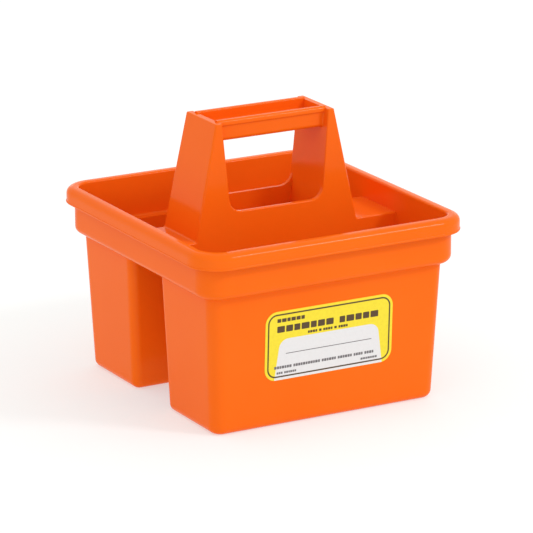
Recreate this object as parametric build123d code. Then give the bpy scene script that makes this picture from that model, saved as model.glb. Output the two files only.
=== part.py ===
"""Two-bin storage caddy with a hollow carrying handle and a write-on label.

Frame: X is the width of the labelled face, Y runs front to back (the label is on
the -Y side), Z is up, and the origin is under the middle of the caddy on the
plane that the two bins stand on.  Millimetres.

The caddy is one moulding.  It is modelled whole, so that its drafts and edge
radii run through, and then divided along its own walls into named members that
meet face to face.
"""
import os

from build123d import *

os.makedirs("parts", exist_ok=True)

# ---- driving dimensions ------------------------------------------------------
WIDTH = 120.0               # X, over the rim
LENGTH = 126.0              # Y, over the rim
WALL = 1.9                  # general wall thickness

RIM_TOP = 75.8              # level of the rim's top face
RIM_HEIGHT = 6.3            # depth of the rim's turned-down skirt
RIM_RADIUS = 13.0           # corner radius in plan
RIM_FLANGE = 3.5            # how far the rim stands out from the upper wall
RIM_SKIRT = 1.7             # thickness of the turned-down skirt
RIM_ROUND = 2.8             # radius of the rim's outer top edge
RIM_BEAD = 0.2              # how far the bead along the skirt's lower edge stands out
RIM_BEAD_HEIGHT = 0.9
RIM_BEAD_ROUND = 0.4
RIM_INNER_ROUND = 0.9       # radius of the rim's inner top edge

BAND_BOTTOM = 56.5          # underside of the step between upper wall and bins
BAND_ROUND = 3.0            # radius of the upper wall's lower edge
STEP = 4.2                  # how far the bins stand in from the upper wall

BIN_TAPER = 2.5             # draft of the bins, per side, from step to base
BIN_CORNER = 5.2            # outer corner radius in plan
GAP_CORNER = 3.6            # radius of the corners that face the other bin
BIN_BOTTOM_ROUND = 3.2      # radius of the lower edges
FLOOR = 2.0                 # floor thickness of the bins
FLOOR_ROUND = 2.2           # radius inside, round the floor
LEDGE_ROUND = 0.9           # radius where the step meets the upper wall, inside

DECK_TOP = 66.4             # top of the saddle that joins the two bins
TOWER_TOP = 112.4           # top of the handle's legs
TOWER_TOP_HALF_LENGTH = 26.6
TOWER_BASE_HALF_LENGTH = 36.4
TOWER_TOP_HALF_DEPTH = 12.4
TOWER_BASE_HALF_DEPTH = 13.6
TOWER_EDGE_ROUND = 0.8
LEG_EDGE_ROUND = 0.5        # radius round the top of the legs and the hand opening
DECK_ROUND = 0.8            # radius of the saddle's long edges
DECK_FOOT_ROUND = 0.9       # radius where the saddle meets the legs

WINDOW_TOP_HALF = 23.9      # half the hand opening at the top of the legs
WINDOW_DRAFT = 0.09         # it narrows by this much per mm of height, per side
WINDOW_SILL = 76.4
WINDOW_ROUND = 5.5

GRIP_TOP = 113.0            # the grip stands a little above the legs
GRIP_BOTTOM = 104.4
GRIP_HALF_DEPTH = 9.0       # over the channel's side walls
GRIP_LIP = 0.7              # how far the bead on each side wall stands out
GRIP_LIP_HEIGHT = 2.3
GRIP_WALL = 1.8
GRIP_TROUGH_ROUND = 3.8
GRIP_END_ROUND = 0.6        # radius where the grip runs into the legs
GRIP_END_LAP = 0.5          # how far the grip's top runs on over each leg

LABEL_WIDTH = 57.0
LABEL_HEIGHT = 28.2
LABEL_CENTRE_HEIGHT = 33.3
LABEL_ROUND = 5.0
LABEL_THICKNESS = 0.2

FAR = 200.0                 # larger than the caddy, for cutting volumes

# ---- sizes that follow from them ---------------------------------------------
LEDGE_TOP = BAND_BOTTOM + WALL
FLANGE_BOTTOM = RIM_TOP - WALL
RIM_BOTTOM = RIM_TOP - RIM_HEIGHT
INNER_SETBACK = RIM_FLANGE + WALL
TOWER_HEIGHT = TOWER_TOP - DECK_TOP


def tower_half_depth(z):
    """Half the handle's depth in Y; the bins' inner walls follow the same slope."""
    slope = (TOWER_BASE_HALF_DEPTH - TOWER_TOP_HALF_DEPTH) / TOWER_HEIGHT
    return TOWER_TOP_HALF_DEPTH + slope * (TOWER_TOP - z)


def tower_half_length(z):
    """Half the handle's length in X over its sloping ends."""
    slope = (TOWER_BASE_HALF_LENGTH - TOWER_TOP_HALF_LENGTH) / TOWER_HEIGHT
    return TOWER_TOP_HALF_LENGTH + slope * (TOWER_TOP - z)


def window_half(z):
    """Half the distance between the legs' inner faces."""
    return WINDOW_TOP_HALF - WINDOW_DRAFT * (TOWER_TOP - z)


def gap_half(z):
    """Half the clear gap between the bins."""
    return tower_half_depth(z) - WALL


def bin_setback(z):
    """How far a bin's outer wall stands in from the rim."""
    return RIM_FLANGE + STEP + BIN_TAPER * (BAND_BOTTOM - z) / BAND_BOTTOM


# ---- building helpers --------------------------------------------------------
def at_height(sketch, z):
    """The sketch's face, moved up to level z."""
    return Pos(0, 0, z) * sketch.face()


def plan(setback, radius):
    """The rim's outline in plan, set in by a distance."""
    return RectangleRounded(WIDTH - 2 * setback, LENGTH - 2 * setback, radius)


def slab(sketch, z0, z1):
    """A straight-sided solid of one outline between two levels."""
    return extrude(at_height(sketch, z0), z1 - z0, dir=(0, 0, 1))


def frustum(half_x, half_y, z0, z1):
    """A drafted block whose half sizes are functions of height."""
    ends = [at_height(Rectangle(2 * half_x(z), 2 * half_y(z)), z) for z in (z0, z1)]
    return loft(ends, ruled=True)


def wide(z):
    """A half size well outside the caddy, at any height."""
    return FAR / 2


def edges_through(solid, points):
    """The edges of a solid that pass through any of the given points."""
    spots = [Vertex(*point) for point in points]
    return [edge for edge in solid.edges() if any(edge.distance_to(spot) < 0.02 for spot in spots)]


def mirrored(point):
    """The four points that mirror one point across both vertical planes."""
    x, y, z = point
    return [(sx * x, sy * y, z) for sx in (-1, 1) for sy in (-1, 1)]


# ---- the whole moulding ------------------------------------------------------
def bin_plan(z, inset, outer_radius, gap_radius):
    """Front bin outline at a level, set in by a wall thickness or by nothing."""
    half_width = WIDTH / 2 - bin_setback(z) - inset
    front = -(LENGTH / 2 - bin_setback(z) - inset)
    back = -(gap_half(z) + inset)
    outline = Rectangle(2 * half_width, back - front)
    outline = fillet(outline.vertices().group_by(Axis.Y)[0], outer_radius)
    outline = fillet(outline.vertices().group_by(Axis.Y)[-1].group_by(Axis.X)[0]
                     + outline.vertices().group_by(Axis.Y)[-1].group_by(Axis.X)[-1], gap_radius)
    return Pos(0, (front + back) / 2, z) * outline.face()


def make_bin():
    """Front bin's outer shape, with rounded lower edges."""
    levels = (0, BAND_BOTTOM)
    shape = loft([bin_plan(z, 0, BIN_CORNER, GAP_CORNER) for z in levels], ruled=True)
    return fillet(shape.edges().group_by(Axis.Z)[0], BIN_BOTTOM_ROUND)


def make_bin_cavity():
    """The space inside the front bin, up to the top of the step."""
    levels = (FLOOR, LEDGE_TOP)
    shape = loft([bin_plan(z, WALL, BIN_CORNER - WALL, GAP_CORNER - 1.0) for z in levels], ruled=True)
    return fillet(shape.edges().group_by(Axis.Z)[0], FLOOR_ROUND)


def make_tower():
    """The handle's outer shape, solid, from the deck to the top of the legs."""
    shape = frustum(tower_half_length, tower_half_depth, DECK_TOP - WALL, TOWER_TOP)
    corner = (tower_half_length(DECK_TOP), tower_half_depth(DECK_TOP), DECK_TOP)
    return fillet(edges_through(shape, mirrored(corner)), TOWER_EDGE_ROUND)


def make_leg_hollow():
    """The wedge-shaped space inside both legs, open below."""
    def inner(z):
        return window_half(z) + WALL

    def outer(z):
        return tower_half_length(z) - WALL

    low = DECK_TOP - WALL - 1
    high = TOWER_TOP - 6
    outline = Polyline((inner(low), low), (outer(low), low), (outer(high), high),
                       (inner(high), high), close=True)
    wedge = extrude(Plane.XZ * make_face(outline), FAR / 2, both=True)
    wedges = wedge + mirror(wedge, Plane.YZ)
    return wedges & frustum(wide, gap_half, low, high)


def make_window():
    """The hand opening, cut through front to back, with rounded lower corners."""
    top = TOWER_TOP + 5
    outline = Polyline((-window_half(top), top), (window_half(top), top),
                       (window_half(WINDOW_SILL), WINDOW_SILL),
                       (-window_half(WINDOW_SILL), WINDOW_SILL), close=True)
    face = make_face(outline)
    face = fillet(face.vertices().group_by(Axis.Y)[0], WINDOW_ROUND)
    return extrude(Plane.XZ * face, FAR / 2, both=True)


def make_grip():
    """The grip: a channel, open above, with a bead along each side wall."""
    lip = GRIP_HALF_DEPTH + GRIP_LIP
    body = Pos(0, (GRIP_TOP + GRIP_BOTTOM) / 2) * Rectangle(2 * GRIP_HALF_DEPTH, GRIP_TOP - GRIP_BOTTOM)
    body = fillet(body.vertices().group_by(Axis.Y)[0], 1.6)
    bead = Pos(0, GRIP_TOP - GRIP_LIP_HEIGHT / 2) * Rectangle(2 * lip, GRIP_LIP_HEIGHT)
    bead = fillet(bead.vertices().group_by(Axis.Y)[-1], 1.3)
    bead = fillet(bead.vertices().group_by(Axis.Y)[0], 0.4)
    floor = GRIP_BOTTOM + GRIP_WALL
    inner = GRIP_HALF_DEPTH - GRIP_WALL
    trough = Pos(0, (GRIP_TOP + 2 + floor) / 2) * Rectangle(2 * inner, GRIP_TOP + 2 - floor)
    trough = fillet(trough.vertices().group_by(Axis.Y)[0], GRIP_TROUGH_ROUND)
    section = body + bead - trough
    inner_top = section.vertices().group_by(Axis.Y)[-1].sort_by(Axis.X)
    section = fillet([inner_top[1], inner_top[-2]], 0.6)
    bar = extrude(Plane.YZ * section, FAR / 2, both=True)
    return bar & frustum(lambda z: window_half(z) + GRIP_END_LAP, wide, GRIP_BOTTOM - 1, GRIP_TOP + 1)


def make_rim():
    """The rim: a flange with a turned-down skirt, hollow below, beaded along its lower edge."""
    rim = slab(plan(RIM_BEAD, RIM_RADIUS - RIM_BEAD), RIM_BOTTOM, RIM_TOP)
    rim = fillet(rim.edges().group_by(Axis.Z)[-1], RIM_ROUND)
    bead = slab(plan(0, RIM_RADIUS), RIM_BOTTOM, RIM_BOTTOM + RIM_BEAD_HEIGHT)
    bead = fillet(bead.edges().group_by(Axis.Z)[0], RIM_BEAD_ROUND)
    bead = fillet(bead.edges().group_by(Axis.Z)[-1], RIM_BEAD_ROUND)
    return rim + bead - slab(plan(RIM_SKIRT, RIM_RADIUS - RIM_SKIRT), RIM_BOTTOM, FLANGE_BOTTOM)


def make_room():
    """All the space above the bins' floors, with the saddle left standing in it."""
    saddle = frustum(wide, tower_half_depth, BAND_BOTTOM, DECK_TOP)
    saddle = fillet(saddle.edges().group_by(Axis.Z)[-1].filter_by(Axis.X), DECK_ROUND)
    room = slab(plan(INNER_SETBACK, RIM_RADIUS - INNER_SETBACK), LEDGE_TOP, RIM_TOP + 1)
    room = fillet(room.edges().group_by(Axis.Z)[0], LEDGE_ROUND) - saddle
    cavity = make_bin_cavity()
    return room + cavity + mirror(cavity, Plane.XZ)


def make_notch():
    """The gap between the bins, right through below the saddle, round the tray."""
    def inside(z):
        return WIDTH / 2 - INNER_SETBACK

    def tray_side(z):
        return window_half(z) + WALL

    notch = frustum(inside, gap_half, BAND_BOTTOM - 1, DECK_TOP - WALL)
    return notch - frustum(tray_side, wide, BAND_BOTTOM, DECK_TOP)


def make_moulding():
    """The caddy as one solid."""
    front_bin = make_bin()
    upper = slab(plan(RIM_FLANGE, RIM_RADIUS - RIM_FLANGE), BAND_BOTTOM, FLANGE_BOTTOM)
    upper = fillet(upper.edges().group_by(Axis.Z)[0], BAND_ROUND)
    tray = frustum(window_half, gap_half, LEDGE_TOP, TOWER_TOP + 5)

    body = front_bin + mirror(front_bin, Plane.XZ) + upper + make_rim()
    body = body - make_room() - make_notch()
    body = body + make_tower() - make_leg_hollow() - tray - make_window()
    return round_edges(body + make_grip())


def round_edges(body):
    """The radii that run over more than one wall."""
    inner_x = WIDTH / 2 - INNER_SETBACK
    inner_y = LENGTH / 2 - INNER_SETBACK
    foot = tower_half_length(DECK_TOP)
    leg_middle = (WINDOW_SILL + GRIP_BOTTOM) / 2
    leg_strip = (WINDOW_TOP_HALF + TOWER_TOP_HALF_LENGTH) / 2
    grip_middle = (GRIP_TOP + GRIP_BOTTOM) / 2
    leg_edges = mirrored((window_half(leg_middle), tower_half_depth(leg_middle), leg_middle))
    leg_edges += mirrored((TOWER_TOP_HALF_LENGTH, 0, TOWER_TOP))
    leg_edges += mirrored((leg_strip, TOWER_TOP_HALF_DEPTH, TOWER_TOP))
    rim_edges = mirrored((0, inner_y, RIM_TOP)) + mirrored((inner_x, 0, RIM_TOP))
    groups = [
        (RIM_INNER_ROUND, rim_edges),
        (LEG_EDGE_ROUND, leg_edges),
        (DECK_FOOT_ROUND, mirrored((foot, 0, DECK_TOP))),
        (GRIP_END_ROUND, mirrored((window_half(grip_middle), GRIP_HALF_DEPTH, grip_middle))),
    ]
    for radius, points in groups:
        body = fillet(edges_through(body, points), radius)
    return body


# ---- dividing it into members ------------------------------------------------
def between(z0, z1):
    """All space between two levels."""
    return Pos(0, 0, (z0 + z1) / 2) * Box(FAR, FAR, z1 - z0)


def make_members():
    """Every member of the moulding by name; those that come in pairs are mirrored."""
    body = make_moulding()
    below_step = body & between(-1, BAND_BOTTOM)
    above_step = body & between(LEDGE_TOP, GRIP_TOP)
    step = body & between(BAND_BOTTOM, LEDGE_TOP)
    tray_outline = frustum(lambda z: window_half(z) + WALL, gap_half, BAND_BOTTOM, LEDGE_TOP)
    band = slab(plan(RIM_FLANGE, RIM_RADIUS - RIM_FLANGE), LEDGE_TOP, FLANGE_BOTTOM)
    middle = frustum(lambda z: WIDTH / 2 - INNER_SETBACK, lambda z: tower_half_depth(z) + 1,
                     LEDGE_TOP, GRIP_TOP)
    outer = above_step - middle
    inner = above_step & middle
    hand_space = frustum(window_half, wide, LEDGE_TOP, GRIP_TOP)
    between_legs = inner & hand_space
    tower_span = Box(2 * TOWER_BASE_HALF_LENGTH, FAR, 2 * FAR)
    right = Pos(FAR / 2, 0, 0) * Box(FAR, FAR, 2 * FAR)
    rear = Pos(0, FAR / 2, 0) * Box(FAR, FAR, 2 * FAR)

    rear_bin = below_step & rear
    rear_sill = between_legs & rear & between(LEDGE_TOP, GRIP_BOTTOM - 4)
    right_saddle = (inner & right) - tower_span
    right_leg = (inner & right & tower_span) - hand_space
    return {
        "front_bin": mirror(rear_bin, Plane.XZ),
        "rear_bin": rear_bin,
        "step_ledge": step - tray_outline,
        "centre_tray_floor": step & tray_outline,
        "upper_wall": outer & band,
        "rim": outer - band,
        "saddle_left": mirror(right_saddle, Plane.YZ),
        "saddle_right": right_saddle,
        "handle_leg_left": mirror(right_leg, Plane.YZ),
        "handle_leg_right": right_leg,
        "front_sill": mirror(rear_sill, Plane.XZ),
        "rear_sill": rear_sill,
        "handle_grip": between_legs & between(GRIP_BOTTOM - 4, GRIP_TOP),
    }


def make_label():
    """The label, a thin plate lying on the front bin's sloping face."""
    middle = -(LENGTH / 2 - bin_setback(LABEL_CENTRE_HEIGHT))
    lean = BIN_TAPER / BAND_BOTTOM
    face = Plane(origin=(0, middle, LABEL_CENTRE_HEIGHT), x_dir=(1, 0, 0), z_dir=(0, -1, -lean))
    return extrude(face * RectangleRounded(LABEL_WIDTH, LABEL_HEIGHT, LABEL_ROUND), LABEL_THICKNESS)


nodes = make_members()
nodes["label"] = make_label()
for node_name, shape in nodes.items():
    export_step(shape, "parts/" + node_name + ".step")
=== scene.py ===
"""Looks of the storage caddy: glossy moulded plastic, a printed label, soft studio light.

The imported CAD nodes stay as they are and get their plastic.  The CAD label is
replaced by a film with its printing.  Sizes are in metres, except on the label:
film and printing are drawn in mm from the label's middle and scaled as they are placed.
"""
import math

import bmesh
import bpy
from mathutils import Matrix, Vector


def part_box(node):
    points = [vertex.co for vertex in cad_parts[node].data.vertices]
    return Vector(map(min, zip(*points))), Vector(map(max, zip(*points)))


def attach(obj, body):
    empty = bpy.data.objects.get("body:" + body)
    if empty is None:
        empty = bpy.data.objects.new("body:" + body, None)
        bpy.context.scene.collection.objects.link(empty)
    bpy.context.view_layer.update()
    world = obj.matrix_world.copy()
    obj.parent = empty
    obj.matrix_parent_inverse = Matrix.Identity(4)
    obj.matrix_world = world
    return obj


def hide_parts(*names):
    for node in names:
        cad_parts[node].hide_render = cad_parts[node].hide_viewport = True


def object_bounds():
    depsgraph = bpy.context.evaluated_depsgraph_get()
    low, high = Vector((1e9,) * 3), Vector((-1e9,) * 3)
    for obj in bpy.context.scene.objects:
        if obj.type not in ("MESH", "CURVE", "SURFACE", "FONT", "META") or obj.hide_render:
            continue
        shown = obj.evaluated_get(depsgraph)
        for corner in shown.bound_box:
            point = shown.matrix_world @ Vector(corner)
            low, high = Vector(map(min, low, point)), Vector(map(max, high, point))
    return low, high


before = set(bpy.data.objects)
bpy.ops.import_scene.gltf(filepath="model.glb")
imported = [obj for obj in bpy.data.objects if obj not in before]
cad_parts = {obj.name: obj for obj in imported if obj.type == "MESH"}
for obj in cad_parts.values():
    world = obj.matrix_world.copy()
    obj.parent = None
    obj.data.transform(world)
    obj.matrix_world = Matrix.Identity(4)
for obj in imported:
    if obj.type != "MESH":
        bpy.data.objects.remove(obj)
CAD_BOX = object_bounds()
MM = 0.001

# ---- colours -----------------------------------------------------------------
ORANGE = (0.925, 0.151, 0.008)
ORANGE_DEEP = (0.915, 0.141, 0.006)
YELLOW = (0.90, 0.73, 0.026)
PANEL_WHITE = (0.76, 0.76, 0.78)
PRINT_BROWN = (0.085, 0.048, 0.016)
PRINT_GREY = (0.16, 0.15, 0.16)
FLOOR_WHITE = (0.56, 0.57, 0.58)

# ---- the plastic: noise scales per metre, gloss, and bump depths in metres ----
FLOW_SCALE = 22
RIPPLE_SCALE = 240
GRAIN_SCALE = 2600
PLASTIC_GLOSS = (0.10, 0.15)
PLASTIC_SPECULAR = 0.08
RIPPLE_DEPTH = 0.00002
GRAIN_DEPTH = 0.000004

# ---- printed paper: noise scales per metre and bump depth in metres -----------
MOTTLE_SCALE = 900
FIBRE_SCALE = 4200
FIBRE_DEPTH = 0.00002
PRINT_SPECULAR = 0.4

# ---- the label, in mm; the printing's outer face lies in the CAD label's -------
FILM_THICKNESS = 0.14
FILM_EDGE = 0.05            # rounding of the film's outer edge
PRINT_THICKNESS = 0.015     # one layer of printing; two lie on each other
LABEL_ROUND = 5.0
FRAME_INSET = 1.1           # from the label's edge to the printed frame line
FRAME_LINE = 0.6
PANEL_TOP = 2.6             # height above the middle, and half widths above and below
PANEL_TOP_HALF = 22.4
PANEL_BOTTOM_HALF = 24.2
PANEL_ROUND = 4.2
PANEL_FOOT_GAP = 0.06       # film left showing below the panel
WRITING_LINE = (-19.3, -3.65, 19.2, -3.35, 0.1)     # left, bottom, right, top, rounding

# Rows of plain blocks: name, left end, middle, height, blocks in each word, block width, ink.
LABEL_ROWS = [
    ("label_heading", -23.3, 10.3, 1.5, (6,), 1.75, "brown"),
    ("label_title", -23.3, 6.7, 2.6, (7, 5), 3.0, "brown"),
    ("label_size_row", -9.6, 3.85, 1.0, (4, 1, 4, 1, 4), 0.93, "brown"),
    ("label_use_row", -24.3, -8.9, 1.1, (7, 11, 6, 6, 4, 4), 0.92, "grey"),
    ("label_code_left", -23.2, -11.2, 0.85, (3, 6), 0.77, "grey"),
    ("label_code_right", 14.5, -11.2, 0.85, (7,), 0.88, "grey"),
]
BLOCK_ROUND = 0.12          # of the row's height
BLOCK_GAP = 0.2             # of a block's width, as are the next two
WORD_GAP = 0.7
BLOCK_UNEVEN = 0.18

# ---- surroundings ------------------------------------------------------------
FLOOR_HALF = 4.0
FLOOR_GLOW = 0.46
FLOOR_GLOW_COLOUR = (0.94, 0.99, 1.0, 1)
SKY_COLOUR = (1.0, 0.975, 0.92, 1)
SKY_STRENGTH = 0.96

# Lights: name, place, width, height, power in watts.
SOFTBOXES = [
    ("front_right", (0.75, -0.97, 1.05), 0.28, 0.2, 5.6),
    ("key", (-0.6, -1.2, 1.5), 1.2, 1.0, 0.6),
    ("rear_strip", (0.95, 1.70, 0.42), 1.2, 0.22, 0.7),
]

CAMERA_TARGET = (0.0, -0.00474, 0.04914)
CAMERA_AZIMUTH = -29.27     # degrees, as are elevation and roll
CAMERA_ELEVATION = 16.61
CAMERA_ROLL = -0.09
CAMERA_DISTANCE = 1.51421
CAMERA_LENS = 256.84        # mm, as is the sensor
CAMERA_SENSOR = 36
CAMERA_REACH = 30


# ---- material helpers --------------------------------------------------------
def new_material(name, roughness, specular):
    """A Principled material, its node tree, and its shader."""
    material = bpy.data.materials.new(name)
    material.use_nodes = True
    tree = material.node_tree
    shader = tree.nodes["Principled BSDF"]
    shader.inputs["Roughness"].default_value = roughness
    shader.inputs["Specular IOR Level"].default_value = specular
    return material, tree, shader


def noise(tree, scale, detail=4.0, roughness=0.5):
    """A noise texture in the object's own metres."""
    place = tree.nodes.new("ShaderNodeTexCoord")
    texture = tree.nodes.new("ShaderNodeTexNoise")
    texture.inputs["Scale"].default_value = scale
    texture.inputs["Detail"].default_value = detail
    texture.inputs["Roughness"].default_value = roughness
    tree.links.new(place.outputs["Object"], texture.inputs["Vector"])
    return texture.outputs["Fac"]


def ramp(tree, value, low, high, start=0.3, end=0.7):
    """A colour that runs from low to high as the value goes from start to end."""
    node = tree.nodes.new("ShaderNodeValToRGB")
    first, last = node.color_ramp.elements
    first.position, last.position = start, end
    first.color, last.color = (*low, 1), (*high, 1)
    tree.links.new(value, node.inputs["Fac"])
    return node.outputs["Color"]


def spread(tree, value, low, high):
    """The value mapped from its middle range onto low to high."""
    node = tree.nodes.new("ShaderNodeMapRange")
    node.inputs["From Min"].default_value = 0.3
    node.inputs["From Max"].default_value = 0.7
    node.inputs["To Min"].default_value = low
    node.inputs["To Max"].default_value = high
    tree.links.new(value, node.inputs["Value"])
    return node.outputs["Result"]


def bump(tree, shader, layers):
    """Stacked bumps, each (height, strength, distance in metres)."""
    normal = None
    for height, strength, distance in layers:
        node = tree.nodes.new("ShaderNodeBump")
        node.inputs["Strength"].default_value = strength
        node.inputs["Distance"].default_value = distance
        tree.links.new(height, node.inputs["Height"])
        if normal:
            tree.links.new(normal, node.inputs["Normal"])
        normal = node.outputs["Normal"]
    tree.links.new(normal, shader.inputs["Normal"])


# ---- materials ---------------------------------------------------------------
def moulded_plastic():
    """Glossy orange polypropylene: faint flow marks, fine moulded texture, uneven gloss."""
    material, tree, shader = new_material("moulded_plastic", 0.12, PLASTIC_SPECULAR)
    flow = noise(tree, FLOW_SCALE, 3, 0.55)
    grain = noise(tree, GRAIN_SCALE, 2)
    ripple = noise(tree, RIPPLE_SCALE, 3)
    tree.links.new(ramp(tree, flow, ORANGE_DEEP, ORANGE), shader.inputs["Base Color"])
    tree.links.new(spread(tree, ripple, *PLASTIC_GLOSS), shader.inputs["Roughness"])
    bump(tree, shader, [(ripple, 0.03, RIPPLE_DEPTH), (grain, 0.04, GRAIN_DEPTH)])
    return material


def printed(name, colour, roughness=0.42, shade=0.92):
    """Coated paper or ink on it: a slight print mottle and a fine fibre."""
    material, tree, shader = new_material(name, roughness, PRINT_SPECULAR)
    mottle = noise(tree, MOTTLE_SCALE, 4, 0.6)
    fibre = noise(tree, FIBRE_SCALE, 3, 0.7)
    darker = tuple(shade * channel for channel in colour)
    tree.links.new(ramp(tree, mottle, darker, colour), shader.inputs["Base Color"])
    gloss = spread(tree, fibre, roughness - 0.05, roughness + 0.07)
    tree.links.new(gloss, shader.inputs["Roughness"])
    bump(tree, shader, [(fibre, 0.12, FIBRE_DEPTH)])
    return material


def floor_paper():
    """Matt white table that glows a little, as a product table lit from below does."""
    material, tree, shader = new_material("backdrop", 0.9, 0.1)
    tooth = noise(tree, MOTTLE_SCALE, 3)
    darker = tuple(0.985 * channel for channel in FLOOR_WHITE)
    tree.links.new(ramp(tree, tooth, darker, FLOOR_WHITE), shader.inputs["Base Color"])
    shader.inputs["Emission Color"].default_value = FLOOR_GLOW_COLOUR
    shader.inputs["Emission Strength"].default_value = FLOOR_GLOW
    return material


# ---- outlines on the label, in mm --------------------------------------------
def arc(centre, radius, start, end, steps=10):
    """Points on an arc, angles in degrees."""
    turns = [math.radians(start + (end - start) * k / steps) for k in range(steps + 1)]
    return [(centre[0] + radius * math.cos(t), centre[1] + radius * math.sin(t)) for t in turns]


def rounded(left, bottom, right, top, radius):
    """A rectangle with rounded corners, anticlockwise."""
    return (arc((right - radius, top - radius), radius, 0, 90)
            + arc((left + radius, top - radius), radius, 90, 180)
            + arc((left + radius, bottom + radius), radius, 180, 270)
            + arc((right - radius, bottom + radius), radius, 270, 360))


def panel_outline(half_height):
    """The write-on panel: rounded above, sides spreading down to the label's bottom edge."""
    top, side, foot = PANEL_TOP, PANEL_TOP_HALF, PANEL_BOTTOM_HALF
    lean = math.degrees(math.atan2(foot - side, top + half_height))
    right = arc((side - PANEL_ROUND, top - PANEL_ROUND), PANEL_ROUND, lean, 90)
    left = [(-x, y) for x, y in reversed(right)]
    return [(foot, -half_height)] + right + left + [(-foot, -half_height)]


def word_blocks(left, middle, height, words, block):
    """Outlines of a row of slightly uneven blocks; words gives how many blocks each word has."""
    bottom, top = middle - height / 2, middle + height / 2
    outlines = []
    x = left
    for count in words:
        for k in range(count):
            width = block * (1 + BLOCK_UNEVEN * math.sin(2.4 * k + count))
            outlines.append(rounded(x, bottom, x + width, top, BLOCK_ROUND * height))
            x += width + BLOCK_GAP * block
        x += WORD_GAP * block
    return outlines


# ---- label pieces ------------------------------------------------------------
def label_place():
    """The matrix from mm on the CAD label's outer face to the scene, and its half sizes in mm."""
    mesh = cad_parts["label"].data
    outer = [face for face in mesh.polygons if face.normal.y < -0.9]
    normal = sum((face.normal * face.area for face in outer), Vector()).normalized()
    low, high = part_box("label")
    across = Vector((1, 0, 0))
    up = normal.cross(across)
    corners = [mesh.vertices[i].co for face in outer for i in face.vertices]
    depth = max(corner.dot(normal) for corner in corners)
    middle = (low + high) / 2
    middle += normal * (depth - middle.dot(normal))
    turn = Matrix((across, up, normal)).transposed().to_4x4()
    half_width = (high.x - low.x) / 2 / MM
    half_height = max(abs((corner - middle).dot(up)) for corner in corners) / MM
    return Matrix.Translation(middle) @ turn @ Matrix.Scale(MM, 4), half_width, half_height


def plate(name, outlines, base, thickness, material, place, bevel=0.0):
    """One piece of thin plates with the given outlines, rising from the level base."""
    mesh = bpy.data.meshes.new(name)
    build = bmesh.new()
    for outline in outlines:
        lower = [build.verts.new((x, y, base)) for x, y in outline]
        upper = [build.verts.new((x, y, base + thickness)) for x, y in outline]
        build.faces.new(list(reversed(lower)))
        build.faces.new(upper)
        for k in range(len(outline)):
            nxt = (k + 1) % len(outline)
            build.faces.new((lower[k], lower[nxt], upper[nxt], upper[k]))
    if bevel:
        middle = base + thickness / 2
        rim = [edge for edge in build.edges if all(vert.co.z > middle for vert in edge.verts)]
        bmesh.ops.bevel(build, geom=rim, offset=bevel, segments=3, affect="EDGES", profile=0.5)
    build.transform(place)
    build.to_mesh(mesh)
    build.free()
    return finished(name, mesh, material)


def frame_line(name, half_width, half_height, level, material, place):
    """The printed frame: a closed line of even width that follows the label's outline."""
    loops = []
    for inset in (FRAME_INSET, FRAME_INSET + FRAME_LINE):
        across, up = half_width - inset, half_height - inset
        loops.append(rounded(-across, -up, across, up, LABEL_ROUND - inset))
    outer, inner = loops
    top = level + PRINT_THICKNESS
    mesh = bpy.data.meshes.new(name)
    build = bmesh.new()
    section = [(outer, level), (outer, top), (inner, top), (inner, level)]
    rings = [[build.verts.new((x, y, z)) for x, y in loop] for loop, z in section]
    for r, ring in enumerate(rings):
        other = rings[(r + 1) % len(rings)]
        for k in range(len(ring)):
            nxt = (k + 1) % len(ring)
            build.faces.new((ring[k], ring[nxt], other[nxt], other[k]))
    build.transform(place)
    build.to_mesh(mesh)
    build.free()
    return finished(name, mesh, material)


def finished(name, mesh, material):
    """A piece from a mesh: smooth where it is smooth, riding on the caddy."""
    mesh.materials.append(material)
    piece = bpy.data.objects.new(name, mesh)
    bpy.context.scene.collection.objects.link(piece)
    mesh.shade_smooth()
    mesh.set_sharp_from_angle(angle=math.radians(40))
    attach(piece, "root")
    return piece


def make_label():
    """Film, write-on panel, frame line, writing line and rows of plain blocks."""
    place, half_width, half_height = label_place()
    yellow = printed("label_yellow", YELLOW)
    white = printed("label_white", PANEL_WHITE, roughness=0.5, shade=0.96)
    brown = printed("label_ink_brown", PRINT_BROWN, roughness=0.35)
    grey = printed("label_ink_grey", PRINT_GREY, roughness=0.4)
    inks = {"brown": brown, "grey": grey}

    film_top = -PRINT_THICKNESS * 2
    outline = rounded(-half_width, -half_height, half_width, half_height, LABEL_ROUND)
    film = plate("label_film", [outline], film_top - FILM_THICKNESS, FILM_THICKNESS, yellow, place,
                 bevel=FILM_EDGE)
    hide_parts("label")
    panel = panel_outline(half_height - PANEL_FOOT_GAP)
    plate("label_panel", [panel], film_top, PRINT_THICKNESS, white, place)
    # Half a layer higher than the panel, so that the line shows where it crosses it.
    frame_line("label_frame_line", half_width, half_height, film_top + PRINT_THICKNESS / 2, brown, place)

    panel_top = film_top + PRINT_THICKNESS
    plate("label_writing_line", [rounded(*WRITING_LINE)], panel_top, PRINT_THICKNESS, grey, place)
    for name, left, middle, height, words, block, ink in LABEL_ROWS:
        blocks = word_blocks(left, middle, height, words, block)
        plate(name, blocks, panel_top, PRINT_THICKNESS, inks[ink], place)


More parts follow.
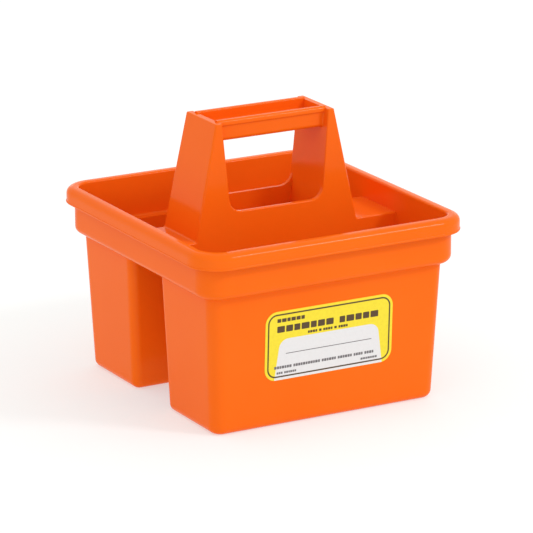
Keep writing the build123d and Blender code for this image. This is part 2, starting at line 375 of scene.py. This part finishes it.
# ---- floor, light and camera ---------------------------------------------------
def make_floor():
    """A wide flat sheet under the caddy."""
    half = FLOOR_HALF
    corners = [(-half, -half, 0), (half, -half, 0), (half, half, 0), (-half, half, 0)]
    mesh = bpy.data.meshes.new("floor")
    mesh.from_pydata(corners, [], [(0, 1, 2, 3)])
    mesh.materials.append(floor_paper())
    floor = bpy.data.objects.new("floor", mesh)
    floor.location.z = CAD_BOX[0].z
    bpy.context.scene.collection.objects.link(floor)


def softbox(name, place, width, height, power):
    """A rectangular light turned to the caddy's middle."""
    light = bpy.data.lights.new(name, "AREA")
    light.shape = "RECTANGLE"
    light.size, light.size_y = width, height
    light.energy = power
    lamp = bpy.data.objects.new(name, light)
    lamp.location = place
    aim = Vector(CAMERA_TARGET) - Vector(place)
    lamp.rotation_euler = aim.to_track_quat("-Z", "Y").to_euler()
    bpy.context.scene.collection.objects.link(lamp)


def make_light():
    """Warm white surroundings, a soft key, and two lights whose reflections draw the edges."""
    world = bpy.data.worlds.new("studio")
    bpy.context.scene.world = world
    world.use_nodes = True
    background = world.node_tree.nodes["Background"]
    background.inputs["Color"].default_value = SKY_COLOUR
    background.inputs["Strength"].default_value = SKY_STRENGTH
    for name, place, width, height, power in SOFTBOXES:
        softbox(name, place, width, height, power)


def make_camera():
    """The camera on its long lens, turned to the caddy."""
    camera = bpy.data.objects.new("camera", bpy.data.cameras.new("camera"))
    camera.data.sensor_width = CAMERA_SENSOR
    camera.data.lens = CAMERA_LENS
    camera.data.clip_end = CAMERA_REACH
    azimuth, elevation = math.radians(CAMERA_AZIMUTH), math.radians(CAMERA_ELEVATION)
    level = math.cos(elevation)
    back = Vector((math.sin(azimuth) * level, -math.cos(azimuth) * level, math.sin(elevation)))
    camera.location = Vector(CAMERA_TARGET) + back * CAMERA_DISTANCE
    roll = Matrix.Rotation(math.radians(CAMERA_ROLL), 3, "Z")
    turn = (-back).to_track_quat("-Z", "Y").to_matrix() @ roll
    camera.rotation_euler = turn.to_euler()
    bpy.context.scene.collection.objects.link(camera)
    bpy.context.scene.camera = camera


# ---- the scene ---------------------------------------------------------------
plastic = moulded_plastic()
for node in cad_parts.values():
    for material_slot in node.material_slots:
        material_slot.material = plastic
make_label()
make_floor()
make_light()
make_camera()
bpy.context.scene.view_settings.view_transform = "Standard"
